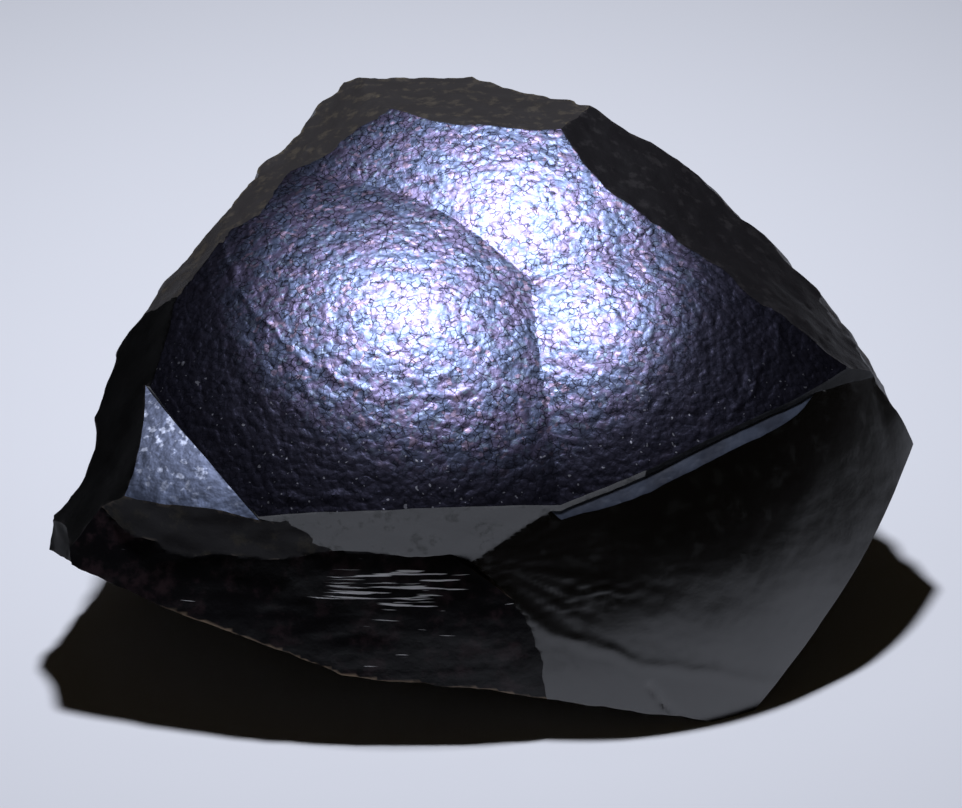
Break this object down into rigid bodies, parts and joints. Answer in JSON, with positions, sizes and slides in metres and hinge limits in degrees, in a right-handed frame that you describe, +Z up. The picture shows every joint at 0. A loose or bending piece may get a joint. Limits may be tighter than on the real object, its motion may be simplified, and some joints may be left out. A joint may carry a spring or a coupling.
{
  "type": "botryoidal hematite specimen",
  "caption": "Hand-sized lump of kidney ore: low domed metallic crust on top, broken faces around and below, resting on its flat base.",
  "frame": {"origin": "middle of the bounding box, at the level of the flat base face", "axes": "+X along the longest extent, -Y toward the lower broken front, +Z up, away from the base"},
  "size_m": [0.0824, 0.0585, 0.0409],
  "materials": {
    "hematite": "submetallic, silvery grey on the domed skin and dark grey to brown-black on the broken faces"
  },
  "bodies": {
    "root": {"hematite": "hematite"}
  },
  "joints": []
}
